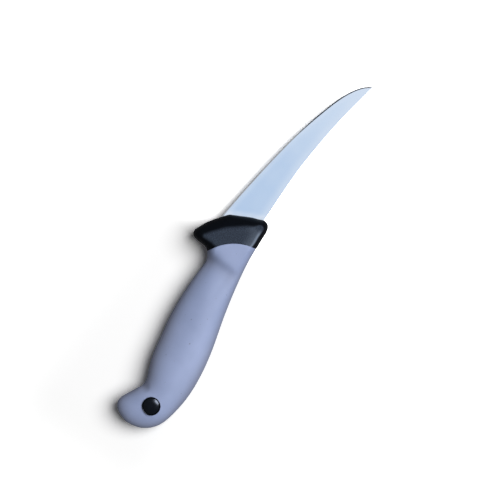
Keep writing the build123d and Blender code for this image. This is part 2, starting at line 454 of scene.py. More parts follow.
@dataclass(frozen=True)
class RubberFinish(Finish):
    """Matt lavender-grey rubber, finely grained, with painted shade by its rims and in the dip."""

    name: str = "grip_rubber_matt"
    base: Colour = paint(146, 160, 197)
    # a lighter tone in random clouds; in the collar's finish the same name holds a painted
    # highlight
    worn: Colour = paint(158, 172, 210)
    speck: Colour = paint(122, 128, 152)
    # painted shade: the colour that darkens the rims, the palm's flank and the dip
    painted_shade: Colour = paint(106, 104, 112)
    cloud: Noise = (28.0, 3.0)
    grain: Noise = (2600.0, 2.0)
    specks: Noise = (620.0, 0.0)
    worn_cloud: Span = (0.35, 0.65)
    speck_core: Span = (0.81, 0.87)
    speck_strength: float = 0.7
    roughness: float = 0.56
    cloud_roughness: float = 0.08
    relief: Relief = (0.00003, 0.6)
    mid_height: float = 0.01
    # painted shade by the rims: its span of heights off the middle, and its strength, partly
    # varied at random by the clouds
    side: Span = (0.0012, 0.0084)
    rim_shade: float = 0.33
    rim_shade_cloud: float = 0.32
    # the painted shade reaches higher up the flanks on the palm
    palm_start: Span = (-0.118, -0.098)
    palm_end: Span = (-0.085, -0.035)
    palm_higher: float = 0.0016
    # painted shade in the neck's dip, where its slope faces away from the light
    dip_middle: float = -0.0182
    dip_reach: Span = (0.0, 0.0065)
    dip_start: Span = (-0.011, -0.005)
    dip_shade: float = 0.12

    def shader(self, sheet: Sheet) -> Value:
        """Lays out clouds and specks, and the painted shade on them.

        Args:
            sheet: Sheet that the nodes go on.

        Returns:
            The shader.
        """
        place = sheet.place()
        spot = sheet.parts(place)
        cloud = sheet.noise(place, *self.cloud)
        grain = sheet.noise(place, *self.grain)
        specks = sheet.noise(place, *self.specks).rise(*self.speck_core)
        fresh = sheet.blend(cloud.rise(*self.worn_cloud), self.base, self.worn)
        palm = spot["X"].rise(*self.palm_start) * spot["X"].fall(*self.palm_end)
        # painted shade: darker near mid height, where the flanks turn away from the light, and
        # higher on the palm
        off_middle = abs(spot["Z"] - self.mid_height) - self.palm_higher * palm
        side = off_middle.fall(*self.side) * (self.rim_shade + self.rim_shade_cloud * cloud)
        # painted shade in the dip
        dip = abs(spot["X"] - self.dip_middle).fall(*self.dip_reach)
        dip = dip * spot["Y"].rise(*self.dip_start)
        colour = sheet.blend(side + self.dip_shade * dip, fresh, self.painted_shade)
        return sheet.surface(
            {
                "Base Color": sheet.blend(specks * self.speck_strength, colour, self.speck),
                "Roughness": self.roughness + self.cloud_roughness * cloud,
                "Normal": sheet.bump(grain, *self.relief),
            }
        )


@dataclass(frozen=True)
class CollarFinish(Finish):
    """Hard black plastic, smooth on the bevels and grained on the panels; the bevels' near black
    is partly painted shade and the panels' slate partly painted reflection.
    """

    name: str = "collar_plastic"
    # partly painted shade: the bevels darker than the panels
    bevel: Colour = paint(6, 9, 15)
    # partly painted reflection: the panels' slate, with a random grain between two tones
    panel: Colour = paint(20, 29, 43)
    grain_panel: Colour = paint(49, 59, 74)
    # painted highlight: the bright line and haze along the panel's border by the spine
    worn: Colour = paint(122, 134, 152)
    cloud: Noise = (60.0, 3.0)
    grain: Noise = (1500.0, 3.0)
    grain_core: Span = (0.3, 0.7)
    bevel_roughness: float = 0.38
    panel_roughness: float = 0.42
    more_roughness: float = 0.08
    bevel_gloss: float = 0.03
    panel_gloss: float = 0.3
    bevel_relief: Relief = (0.00001, 0.5)
    panel_relief: Relief = (0.00006, 0.8)

    def shader(self, sheet: Sheet) -> Value:
        """Lays out the smooth and the satin plastic, and the painted highlight by the panel's
        border.

        Args:
            sheet: Sheet that the nodes go on.

        Returns:
            The shader.
        """
        place = sheet.place()
        cloud = sheet.noise(place, *self.cloud)
        grain = sheet.noise(place, *self.grain)
        slate = sheet.blend(grain.rise(*self.grain_core), self.panel, self.grain_panel)
        smooth = sheet.surface(
            {
                "Base Color": self.bevel,
                "Roughness": self.bevel_roughness + self.more_roughness * cloud,
                "Specular IOR Level": self.bevel_gloss,
                "Normal": sheet.bump(grain, *self.bevel_relief),
            }
        )
        satin = sheet.surface(
            {
                # painted highlight along the panel's border, by its mark
                "Base Color": sheet.blend(sheet.mark(Mark.WORN), slate, self.worn),
                "Roughness": self.panel_roughness + self.more_roughness * grain,
                "Specular IOR Level": self.panel_gloss,
                "Normal": sheet.bump(grain, *self.panel_relief),
            }
        )
        return sheet.either(sheet.mark(Mark.PANEL), smooth, satin)


@dataclass(frozen=True)
class PlugFinish(Finish):
    """Polished black plastic with a cool gloss and faint moulding ripples."""

    name: str = "plug_black"
    base: Colour = paint(4, 7, 12)
    lighter: float = 1.5
    gloss_tint: Colour = (0.7, 0.79, 1.0, 1.0)
    gloss: float = 0.08
    ripple: Noise = (420.0, 2.0)
    ripple_core: Span = (0.4, 0.7)
    roughness: float = 0.2
    ripple_roughness: float = 0.08
    relief: Relief = (0.00002, 0.5)

    def shader(self, sheet: Sheet) -> Value:
        """Lays out the ripples.

        Args:
            sheet: Sheet that the nodes go on.

        Returns:
            The shader.
        """
        ripple = sheet.noise(sheet.place(), *self.ripple)
        light = (*(part * self.lighter for part in self.base[:3]), 1.0)
        return sheet.surface(
            {
                "Base Color": sheet.blend(ripple.rise(*self.ripple_core), self.base, light),
                "Roughness": self.roughness + self.ripple_roughness * ripple,
                "Specular IOR Level": self.gloss,
                "Specular Tint": self.gloss_tint,
                "Normal": sheet.bump(ripple, *self.relief),
            }
        )


@dataclass(frozen=True)
class SteelFinish(Finish):
    """Stainless steel, finely brushed along the blade and softly mottled.

    Its colour shifts from that of the heel to that of the tip over a span along the blade, a
    painted reflection.
    Each painted highlight is a mark, the span of millimetres over which the steel is paler, and
    how much.
    """

    name: str
    heel: Colour
    tip: Colour
    shift: Span
    painted_highlights: Sequence[tuple[Mark, Span, float]] = ()
    # pale steel for the random mottling and the painted highlights
    pale: Colour = paint(211, 224, 241)
    cloud: Noise = (70.0, 4.0)
    cloud_middle: float = 0.5
    cloud_shift: float = 0.03
    mottle_core: Span = (0.25, 0.75)
    mottle: float = 0.14
    strokes: Noise = (2400.0, 2.0)
    stroke_turn: float = -4.0
    stroke_stretch: float = 18.0
    roughness: float = 0.25
    stroke_roughness: float = 0.12
    relief: Relief = (0.000004, 0.5)

    def shader(self, sheet: Sheet) -> Value:
        """Lays out the painted reflection that shifts the colour, the mottling, the painted
        highlights and the brush strokes.

        Args:
            sheet: Sheet that the nodes go on.

        Returns:
            The shader.
        """
        place = sheet.place()
        brushed = sheet.place(self.stroke_turn, self.stroke_stretch)
        strokes = sheet.noise(brushed, *self.strokes)
        cloud = sheet.noise(place, *self.cloud)
        shifted = sheet.parts(place)["X"] + self.cloud_shift * (cloud - self.cloud_middle)
        pale = cloud.rise(*self.mottle_core) * self.mottle
        # painted highlights: paler steel by the back, the edge and the collar
        for mark, span, strength in self.painted_highlights:
            pale = pale + sheet.mark(mark).fall(*span) * strength
        # painted reflection: the colour shifts from the heel to the tip
        ground = sheet.blend(shifted.rise(*self.shift), self.heel, self.tip)
        return sheet.surface(
            {
                "Base Color": sheet.blend(pale, ground, self.pale),
                "Metallic": 1.0,
                "Roughness": self.roughness + self.stroke_roughness * strokes,
                "Normal": sheet.bump(strokes, *self.relief),
            }
        )


@dataclass(frozen=True)
class FloorFinish(Finish):
    """White paper, dim to everything but the camera. To the camera it is whiter away from the
    handle, which is painted light that lifts the knife's shadow by the blade.
    """

    name: str = "floor_paper"
    seen: Colour = (1.16, 1.16, 1.16, 1.0)
    seen_away: Colour = (3.0, 3.0, 3.0, 1.0)
    unseen: Colour = (0.35, 0.35, 0.35, 1.0)
    handle_start: Span = (-0.34, -0.145)
    handle_end: Span = (-0.012, 0.022)
    handle_line: float = 0.008
    aside: Span = (0.026, 0.22)

    def shader(self, sheet: Sheet) -> Value:
        """Lays out what the camera sees of the paper and what the knife gets from it.

        Args:
            sheet: Sheet that the nodes go on.

        Returns:
            The shader.
        """
        spot = sheet.parts(sheet.place())
        # painted light: whiter paper away from the handle lifts the shadow by the blade
        by_handle = spot["X"].rise(*self.handle_start) * spot["X"].fall(*self.handle_end)
        by_handle = by_handle * abs(spot["Y"] - self.handle_line).fall(*self.aside)
        paper = sheet.blend(by_handle, self.seen_away, self.seen)
        white = sheet.node("ShaderNodeBsdfDiffuse", {}, {"Color": paper})["BSDF"]
        grey = sheet.node("ShaderNodeBsdfDiffuse", {}, {"Color": self.unseen})["BSDF"]
        seen = sheet.node("ShaderNodeLightPath", {}, {})["Is Camera Ray"]
        return sheet.either(seen, grey, white)


class Piece:
    """A finished piece of the knife, which stands for solids of the CAD part."""

    def __init__(self, name: str, skin: bmesh.types.BMesh, plan: KnifePlan) -> None:
        """Moves a skin into the frame and makes it an object.

        Args:
            name: Name of the piece.
            skin: Its skin, in millimetres, in the knife's plan.
            plan: Sizes that the pieces share.
        """
        bmesh.ops.recalc_face_normals(skin, faces=skin.faces)
        bmesh.ops.transform(skin, matrix=plan.into_frame(), verts=skin.verts)
        mesh = bpy.data.meshes.new(name)
        skin.to_mesh(mesh)
        skin.free()
        mesh.shade_smooth()
        self.item = bpy.data.objects.new(name, mesh)
        bpy.context.scene.collection.objects.link(self.item)

    def soften(self, angle: float) -> None:
        """Shades the piece smoothly, apart from edges sharper than an angle in degrees."""
        self.item.data.set_sharp_from_angle(angle=math.radians(angle))

    def cut_hole(self, cutter: "Piece") -> None:
        """Takes another piece's room out of this one.

        Args:
            cutter: Piece that fills the hole. It is used up.
        """
        cut = self.item.modifiers.new("hole", "BOOLEAN")
        cut.operation = "DIFFERENCE"
        cut.solver = "EXACT"
        cut.object = cutter.item
        depsgraph = bpy.context.evaluated_depsgraph_get()
        cut_mesh = bpy.data.meshes.new_from_object(self.item.evaluated_get(depsgraph))
        self.item.modifiers.remove(cut)
        whole = self.item.data
        self.item.data = cut_mesh
        bpy.data.meshes.remove(whole)
        cut_mesh.name = self.item.name
        bpy.data.objects.remove(cutter.item)

    def dress(self, materials: Sequence[bpy.types.Material], slot: Slot, *nodes: str) -> None:
        """Gives the piece its materials and its place in the frame.

        Args:
            materials: Materials by the index that its faces name.
            slot: Slot of the record that its finish belongs to.
            nodes: CAD nodes that the piece stands for.
        """
        for material in materials:
            self.item.data.materials.append(material)
        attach(self.item, "root")
        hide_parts(*nodes)
        faces = len(self.item.data.polygons)
        log.info("%s: %d faces for %s, %s", self.item.name, faces, ", ".join(nodes), slot.value)


@dataclass
class Collar:
    """Hard collar with its finger guard: one bevelled form between two satin panels.

    The shares of its outline and of its flat's border run back from the nose and out from the
    spine side. The panel's finish ends crisply by the spine and softly elsewhere, and a painted
    highlight line with a painted haze beside it follows the panel's border by the spine.
    """

    plan: KnifePlan
    bevel_turn: float = 62.0
    roll_width: float = 1.5
    roll_end_slope: float = 0.06
    crown: float = 0.16
    crown_run: float = 5.0
    under_cad: float = 0.01
    cell: float = 0.9
    cell_snap: float = 0.0001
    rim_gap: float = 0.1
    least_panel: float = 40.0
    seam_bulge_room: float = 8.0
    seam_round: float = 0.3
    nub_shares: Point = (0.285, 0.668)
    nub_reach: float = 2.7
    nub_height: float = 0.28
    outline_shares: Sequence[tuple[Point, Point]] = (
        ((0.278, -0.012), (0.295, 0.072)), ((0.114, 0.002), (0.165, 0.081)),
        ((0.031, 0.045), (0.117, 0.094)), ((0.0, 0.135), (0.117, 0.145)),
        ((0.025, 0.202), (0.15, 0.2)), ((0.071, 0.316), (0.217, 0.311)),
        ((0.181, 0.522), (0.346, 0.475)), ((0.283, 0.685), (0.466, 0.611)),
        ((0.41, 0.785), (0.578, 0.7)), ((0.587, 0.902), (0.69, 0.79)),
        ((0.75, 0.975), (0.771, 0.838)), ((0.845, 1.0), (0.814, 0.852)),
        ((0.915, 0.968), (0.848, 0.835)), ((0.943, 0.876), (0.856, 0.791)),
        ((0.949, 0.758), (0.86, 0.707)), ((0.962, 0.672), (0.864, 0.65)),
    )
    spine_insets: Point = (0.12, 0.095)
    edge_inset: Point = (0.131, -0.022)
    edge_lap_inset: float = 0.11
    soft_side: Span = (5.0, 10.0)
    panel_starts: Point = (0.75, 0.15)
    crisp_width: float = 0.7
    soft_end: float = 1.2
    # painted highlight: a line and a haze along the panel's border by the spine
    highlight_outside: float = 0.1
    highlight_line: float = 0.62
    highlight_line_reach: Span = (0.0, 2.0)
    highlight_haze: float = 0.28
    highlight_haze_reach: Span = (0.5, 8.5)
    highlight_end: Span = (146.0, 150.5)
    highlight_side: Span = (6.0, 13.0)
    sharp_turn: float = 40.0
    levels: int = 22
    roll_steps: int = 7
    front_steps: int = 220
    seam_steps: int = 40
    crown_steps: int = 24
    readings: int = 900
    outline: SmoothLine = field(init=False)
    border: SmoothLine = field(init=False)
    rings: list[list[Vector]] = field(init=False)
    rim: np.ndarray = field(init=False)

    def __post_init__(self) -> None:
        """Fits the outline at mid thickness, the border of the flat and the rings on them."""
        plan = self.plan
        spine, edge = plan.seam_spine, plan.seam_edge
        lap_inset, inset = (Vector((0, share * plan.grip_width, 0)) for share in self.spine_insets)
        back = Vector((plan.seam_lap, 0, 0))
        run, height = self.edge_inset
        edge_inset = Vector((run * plan.collar_length, height * plan.guard_height, 0))
        edge_lap_inset = Vector((self.edge_lap_inset * plan.collar_length, -plan.seam_lap, 0))
        pairs = [
            (spine - back, spine - back + lap_inset),
            (spine, spine + inset),
            *((self._spot(outer), self._spot(inner)) for outer, inner in self.outline_shares),
            (edge, edge + edge_inset),
            (edge - plan.seam_ahead * plan.seam_lap, edge + edge_lap_inset),
        ]
        self.outline = SmoothLine([tuple(outer[:2]) for outer, inner in pairs])
        self.border = SmoothLine([tuple(inner[:2]) for outer, inner in pairs])
        self.rings = [self._ring(*step) for step in self._steps()]
        self.rim = np.array([place[:2] for place in self.rings[-1][: self.front_steps + 1]])

    def _spot(self, shares: Point) -> Vector:
        """Point of the collar, back from the nose and out from the spine side."""
        run, height = shares[0] * self.plan.collar_length, shares[1] * self.plan.guard_height
        return Vector((self.plan.handle_length - run, height, 0.0))

    @property
    def top(self) -> float:
        """Height of the border of the crowned panel over mid thickness."""
        return self.plan.half_thickness - self.under_cad - self.crown

    @property
    def border_height(self) -> float:
        """Height at which the bevel ends and its border rolls over into the panel."""
        slope = 1 / math.tan(math.radians(self.bevel_turn))
        return self.top - self.roll_width * (slope + self.roll_end_slope) / 2

    def _steps(self) -> list[tuple[float, float, float]]:
        """Rings from the lower panel to the upper one.

        Returns:
            For each ring, the share of the way from the outline to the border of the bevel,
            the reach past that border, and the height.
        """
        full = math.radians(self.bevel_turn)
        slope = 1 / math.tan(full)
        rings = []
        for level in range(self.levels + 1):
            turn = full * (2 * level / self.levels - 1)
            share = (1 - math.cos(turn)) / (1 - math.cos(full))
            rings.append((share, 0.0, self.border_height * math.sin(turn) / math.sin(full)))
        for step in range(1, self.roll_steps + 1):
            reach = self.roll_width * step / self.roll_steps
            fall = (slope - self.roll_end_slope) * reach**2 / (2 * self.roll_width)
            height = self.border_height + slope * reach - fall
            rings.append((1.0, reach, height))
            rings.insert(0, (1.0, reach, -height))
        return rings

    def _ring(self, inset: float, reach: float, height: float) -> list[Vector]:
        """Points round the collar at one height.

        Args:
            inset: Share of the way from the outline to the border of the bevel.
            reach: Reach past that border.
            height: Height over mid thickness.

        Returns:
            The points, from the spine side of the seam round the guard and back along it.
        """

        def spot(share: float) -> Vector:
            """Finds a point between the outline and the panel.

            Args:
                share: Share of the way along the outline.

            Returns:
                The point.
            """
            number = self.outline.number_of(share)
            outer = self.outline.at(share)
            off_nub = (outer - self._spot(self.nub_shares)).length / self.nub_reach
            nub = self.nub_height * max(1 - off_nub**2, 0.0) ** 2
            way = self.border.at(self.border.share_of(number)) - outer
            ahead = Vector((nub * (1 - inset), 0.0, 0.0))
            return outer + ahead + way * inset + way.normalized() * reach

        shares = np.linspace(0, 1, self.readings)
        past = [self.plan.past_seam(spot(share))[0] for share in shares]
        inside = [number for number, reach in enumerate(past) if reach > 0]
        first, last = inside[0], inside[-1]
        start = np.interp(0, past[first - 1 : first + 1], shares[first - 1 : first + 1])
        end = np.interp(0, past[last + 1 : last - 1 : -1], shares[last + 1 : last - 1 : -1])
        ring = [
            spot(mix(start, end, step / self.front_steps)) for step in range(self.front_steps + 1)
        ]
        spine_across = self.plan.past_seam(ring[0])[1]
        edge_across = self.plan.past_seam(ring[-1])[1]
        rounded = max(abs(height) - self.top + self.seam_round, 0.0) / self.seam_round
        back = self.plan.seam_ahead * (self.seam_round * (1 - math.sqrt(1 - min(rounded, 1) ** 2)))
        ring += [
            self.plan.seam(mix(edge_across, spine_across, step / self.seam_steps)) + back
            for step in range(1, self.seam_steps)
        ]
        return [Vector((place.x, place.y, height)) for place in ring]

    def seam_profile(self) -> tuple[list[float], list[float]]:
        """Reads the upper surface of the collar where it meets the grip.

        Returns:
            Shares of the way across the seam, and the heights there.
        """
        spine, edge = [], []
        for (_, _, height), ring in zip(self._steps(), self.rings):
            if height >= 0:
                front_end = ring[self.front_steps]
                spine.append((self.plan.past_seam(ring[0])[1], height))
                edge.append((self.plan.past_seam(front_end)[1], height))
        first, last = spine[-1][0], edge[-1][0]
        chord = (self.plan.seam_edge - self.plan.seam_spine).length
        for step in range(1, self.crown_steps):
            across = mix(first, last, step / self.crown_steps)
            reach = min(across - first, last - across) * chord
            spine.append((across, self._crown_height(reach)))
        profile = spine + edge[::-1]
        return [across for across, height in profile], [height for across, height in profile]

    def _crown_height(self, reach: float) -> float:
        """Height of the crowned panel at a distance from its border."""
        return self.top + self.crown * (1 - (1 - min(reach / self.crown_run, 1.0)) ** 2)

    def _crown_panel(self, skin: bmesh.types.BMesh, panel: bmesh.types.BMFace) -> None:
        """Cuts a panel into small cells and raises it from its border.

        Args:
            skin: The collar's skin.
            panel: The panel's face.
        """
        side = math.copysign(1.0, panel.normal.z)
        cells = [panel, *panel.edges, *panel.verts]
        for axis, cut in enumerate((Vector((1.0, 0.0, 0.0)), Vector((0.0, 1.0, 0.0)))):
            start, end = self.rim[:, axis].min() - self.seam_bulge_room, self.rim[:, axis].max()
            for step in range(1, int((end - start) / self.cell)):
                made = bmesh.ops.bisect_plane(
                    skin,
                    geom=cells,
                    dist=self.cell_snap,
                    plane_co=cut * (start + step * self.cell),
                    plane_no=cut,
                )
                cells = made["geom"]
        for vert in {cell for cell in cells if isinstance(cell, bmesh.types.BMVert)}:
            reach = max(reach_from(self.rim, vert.co) - self.rim_gap, 0.0)
            vert.co.z = side * self._crown_height(reach)

    def _inside(self, place: Vector) -> float:
        """Distance of a point from the crowned panel's border, negative outside it."""
        reach = reach_from(self.rim, place)
        return reach if abs(place.z) > self.top + 2 * SAME_POINT else -reach

    def _panel_share(self, place: Vector) -> float:
        """Share of the panel's finish at a point: crisp by the spine, soft elsewhere.

        Args:
            place: The point.

        Returns:
            The share, from 0 to 1.
        """
        # the soft end blends the panels' painted reflection into the bevels' painted shade
        soft = ease(place.y, *self.soft_side)
        start = -self.roll_width - mix(*self.panel_starts, soft)
        end = mix(start + self.crisp_width, self.soft_end, soft)
        return ease(self._inside(place), start, end)

    def _painted_highlight_share(self, place: Vector) -> float:
        """Share of painted highlight at a point, along the panel's border by the spine.

        Args:
            place: The point.

        Returns:
            The share, from 0 to 1.
        """
        off_line = abs(self._inside(place) + self.roll_width + self.highlight_outside)
        line = self.highlight_line * (1 - ease(off_line, *self.highlight_line_reach))
        haze = self.highlight_haze * (1 - ease(off_line, *self.highlight_haze_reach))
        by_spine = (1 - ease(place.x, *self.highlight_end)) * (1 - ease(place.y, *self.highlight_side))
        return (line + haze) * by_spine

    def build(self) -> Piece:
        """Builds the collar.

        Returns:
            The piece.
        """
        skin = wrap_skin(self.rings)
        bmesh.ops.recalc_face_normals(skin, faces=skin.faces)
        for panel in [face for face in skin.faces if face.calc_area() > self.least_panel]:
            self._crown_panel(skin, panel)
        set_mark(skin, Mark.PANEL, self._panel_share)
        set_mark(skin, Mark.WORN, self._painted_highlight_share)
        piece = Piece("collar", skin, self.plan)
        piece.soften(self.sharp_turn)
        return piece


@dataclass
class Plug:
    """Plug through the butt: a domed head with a rim on each flank."""

    plan: KnifePlan
    from_butt: float = 18.0
    from_spine: float = 5.8
    radius: float = 5.9
    seat: float = 6.0
    rim_top: float = 9.3
    rim_round: float = 0.22
    rim_rise: float = 0.3
    rim_drop: float = 0.32
    rim_turns: Sequence[float] = (150.0, 120.0, 90.0, 60.0, 30.0, 0.0)
    groove: Sequence[Point] = ((0.62, 0.6), (0.5, 0.45))
    dome_top: float = 9.85
    dome_inset: float = 0.7
    dome_drop: float = 1.1
    dome_power: float = 2.6
    dome_steps: int = 14
    stem_radius: float = 3.7
    clearance: float = 0.05
    steps: int = 96
    sharp_turn: float = 40.0

    def _profile(self) -> list[Point]:
        """Half profile of a head and its stem, from the middle of the dome outwards.

        Returns:
            Distances from the axis and heights over mid thickness.
        """
        dome_edge = self.radius - self.dome_inset
        points = []
        for step in range(self.dome_steps + 1):
            reach = step / self.dome_steps
            drop = self.dome_drop * reach**self.dome_power
            points.append((dome_edge * reach, self.dome_top - drop))
        points += [(self.radius - inset, self.rim_top - drop) for inset, drop in self.groove]
        for turn in self.rim_turns:
            angle = math.radians(turn)
            out = self.radius - self.rim_round + self.rim_round * math.cos(angle)
            points.append((out, self.rim_top - self.rim_drop + self.rim_rise * math.sin(angle)))
        stem = self.stem_radius
        return [*points, (self.radius, self.seat), (stem, self.seat), (stem, 0.0), (0.0, 0.0)]

    def build(self, flank: Flank) -> Piece:
        """Builds a head with its stem.

        Args:
            flank: Flank that the head is on.

        Returns:
            The piece.
        """
        skin = bmesh.new()
        centre = Vector((self.from_butt, -self.from_spine, 0.0))
        wire = []
        for out, height in self._profile():
            place = centre + Vector((out, 0.0, height * flank.value))
            wire += bmesh.ops.create_vert(skin, co=place)["vert"]
        for start, end in zip(wire, wire[1:]):
            skin.edges.new((start, end))
        bmesh.ops.spin(
            skin,
            geom=list(skin.verts) + list(skin.edges),
            cent=centre,
            axis=Vector((0, 0, 1)),
            angle=2 * math.pi,
            steps=self.steps,
            use_merge=True,
        )
        bmesh.ops.remove_doubles(skin, verts=skin.verts, dist=2 * SAME_POINT)
        piece = Piece(f"plug_head_{flank.name.lower()}", skin, self.plan)
        piece.soften(self.sharp_turn)
        return piece

    def hole(self, flank: Flank) -> Piece:
        """Builds the room that a head takes in the grip.

        Args:
            flank: Flank that the head is on.

        Returns:
            A cutter for the grip.
        """
        skin = bmesh.new()
        middle = (self.seat + 2 * self.plan.half_thickness) / 2 * flank.value
        bmesh.ops.create_cone(
            skin,
            cap_ends=True,
            segments=self.steps,
            radius1=self.radius + self.clearance,
            radius2=self.radius + self.clearance,
            depth=2 * self.plan.half_thickness - self.seat,
            matrix=Matrix.Translation((self.from_butt, -self.from_spine, middle)),
        )
        return Piece(f"plug_room_{flank.name.lower()}", skin, self.plan)


@dataclass
class SoftGrip:
    """Soft grip: a crowned form with a hooked butt, moulded up to the collar's seam.

    Its sides are shares of the way to the seam and of the grip's width, and its rise and its
    dip are shares of the handle's length and of the half thickness or the dip's depth.
    """

    plan: KnifePlan
    collar: Collar
    spine_shares: Sequence[Point] = (
        (0.0, 0.037), (0.006, -0.127), (0.035, -0.352), (0.082, -0.497), (0.15, -0.572),
        (0.245, -0.611), (0.36, -0.582), (0.5, -0.47), (0.64, -0.306), (0.78, -0.165),
        (0.9, -0.07),
    )
    edge_shares: Sequence[Point] = (
        (0.0, 0.037), (0.006, 0.127), (0.029, 0.303), (0.05, 0.364), (0.074, 0.385),
        (0.105, 0.363), (0.149, 0.292), (0.192, 0.222), (0.211, 0.189), (0.235, 0.185),
        (0.289, 0.249), (0.364, 0.352), (0.472, 0.435), (0.58, 0.512), (0.688, 0.561),
        (0.795, 0.583), (0.903, 0.583), (0.957, 0.592),
    )
    facing_shares: Sequence[Point] = (
        (0.0, 0.0), (0.17, 0.17), (0.297, 0.329), (0.521, 0.598), (0.808, 0.925),
    )
    rise_shares: Sequence[Point] = (
        (-0.05, 0.93), (0.12, 0.93), (0.3, 0.985), (0.42, 0.995), (0.56, 0.985), (0.69, 0.965),
        (0.8, 0.985), (1.0, 0.985),
    )
    dip_shares: Sequence[Point] = (
        (0.46, 0.0), (0.54, 0.08), (0.62, 0.38), (0.68, 0.8), (0.724, 1.0), (0.739, 0.91),
        (0.753, 0.56), (0.767, 0.17), (0.781, 0.02), (0.796, 0.0), (1.0, 0.0),
    )
    dip_depth: float = 2.5
    dip_side: Span = (-5.0, 5.0)
    dip_flank: Span = (0.0, 8.0)
    palm_power: float = 1.85
    neck_power: float = 2.6
    neck: Span = (0.6, 0.95)
    crest_lean: float = 0.12
    lean_start: Span = (0.05, 0.25)
    lean_end: Span = (0.62, 0.92)
    crease: Point = (25.0, 5.0)
    crease_reach: float = 4.4
    crease_depth: float = 1.1
    butt_round: float = 21.0
    bow_start: Span = (0.55, 1.0)
    rim_start: Span = (0.84, 0.99)
    seam_groove: float = 0.3
    groove_start: Span = (0.9925, 1.0)
    butt_rows: Sequence[float] = (0.0, 0.0008, 0.0025, 0.0055, 0.01)
    body: Span = (0.016, 0.99)
    body_rows: int = 130
    seam_rows: Sequence[float] = (0.9935, 0.9965, 0.9985, 1.0)
    columns: int = 96
    readings: int = 240
    sharp_turn: float = 36.0
    spine_side: SmoothLine = field(init=False)
    edge_side: SmoothLine = field(init=False)
    facing: np.ndarray = field(init=False)
    rise: np.ndarray = field(init=False)
    dip: np.ndarray = field(init=False)
    rim: tuple[list[float], list[float]] = field(init=False)

    def __post_init__(self) -> None:
        """Fits the sides in plan, which face each other across the grip, and the side view."""
        plan = self.plan
        width = plan.grip_width
        lap = Vector((plan.seam_lap / plan.seam_ahead.x, 0.0, 0.0))
        spine = [(run * plan.seam_spine.x, side * width) for run, side in self.spine_shares]
        edge = [(run * plan.seam_edge.x, side * width) for run, side in self.edge_shares]
        for end in (plan.seam_spine, plan.seam_spine + lap):
            spine.append((end.x, end.y))
        for end in (plan.seam_edge, plan.seam_edge + plan.seam_ahead * plan.seam_lap):
            edge.append((end.x, end.y))
        self.spine_side = SmoothLine(spine)
        self.edge_side = SmoothLine(edge)
        ends = (
            self.spine_side.share_of(len(self.spine_shares)),
            self.edge_side.share_of(len(self.edge_shares)),
        )
        self.facing = np.array([*self.facing_shares, ends]).T
        self.rise = self._side_view(self.rise_shares)
        self.dip = self._side_view(self.dip_shares)
        self.rim = self.collar.seam_profile()

    def _side_view(self, shares: Sequence[Point]) -> np.ndarray:
        """Fits a smooth side view.

        Args:
            shares: Runs as shares of the handle's length, each with its height.

        Returns:
            The runs, and the heights at them.
        """
        length = self.plan.handle_length
        line = SmoothLine([(run * length, height) for run, height in shares])
        return line.readings(self.readings).T

    def _rows(self) -> list[float]:
        """Shares of the way from the butt to the seam: close at both ends."""
        body = [mix(*self.body, step / self.body_rows) for step in range(self.body_rows + 1)]
        return [*self.butt_rows, *body, *self.seam_rows]

    def _station(self, share: float) -> tuple[Vector, Vector, float, float]:
        """Measures the grip across at a station.

        Args:
            share: Share of the way from the butt to the seam.

        Returns:
            The spine side, the edge side, the half thickness and the power of the crown.
        """
        spine_share = share * float(self.facing[0][-1])
        spine = self.spine_side.at(spine_share)
        edge = self.edge_side.at(float(np.interp(spine_share, *self.facing)))
        run = (spine.x + edge.x) / 2
        half = self.plan.half_thickness * float(np.interp(run, *self.rise))
        half *= math.sqrt(1 - (1 - min(run / self.butt_round, 1.0)) ** 2)
        power = mix(self.palm_power, self.neck_power, ease(spine_share, *self.neck))
        return spine, edge, half, power

    def _place(self, share: float, turn: float) -> Vector:
        """Point of the grip's surface.

        Args:
            share: Share of the way from the butt to the seam.
            turn: Turn round the section, in radians, from the spine side over the top.

        Returns:
            The point.
        """
        spine, edge, half, power = self._station(share)
        swing = math.cos(turn)
        across = 0.5 * (1 - swing)
        lean = self.crest_lean * ease(share, *self.lean_start) * (1 - ease(share, *self.lean_end))
        off_crest = swing - lean * (1 - swing * swing)
        height = half * math.sqrt(max(1 - abs(off_crest) ** power, 0.0))
        height = mix(height, float(np.interp(across, *self.rim)), ease(share, *self.rim_start))
        groove = self.seam_groove * ease(share, *self.groove_start)
        chord = edge - spine
        if groove:
            across = mix(across, 0.5, 2 * groove / chord.length)
        bow = self.plan.bow(across) * ease(share, *self.bow_start)
        place = spine + chord * across + self.plan.seam_ahead * bow
        side = ease(place.y, *self.dip_side) * ease(height, *self.dip_flank)
        height -= self.dip_depth * float(np.interp(place.x, *self.dip)) * side
        off_crease = (place - Vector((*self.crease, 0.0))).length / self.crease_reach
        height -= self.crease_depth * max(1 - off_crease**2, 0.0) ** 2
        place.z = math.copysign(max(height - groove, 0.0), math.sin(turn))
        return place

    def build(self, plug: Plug) -> Piece:
        """Builds the grip.

        Args:
            plug: Plug that the grip is open for.

        Returns:
            The piece.
        """
        turns = [2 * math.pi * column / self.columns for column in range(self.columns)]
        skin = wrap_skin([[self._place(share, turn) for turn in turns] for share in self._rows()])
        piece = Piece("soft_grip_skin", skin, self.plan)
        for flank in Flank:
            piece.cut_hole(plug.hole(flank))
        piece.soften(self.sharp_turn)
        return piece


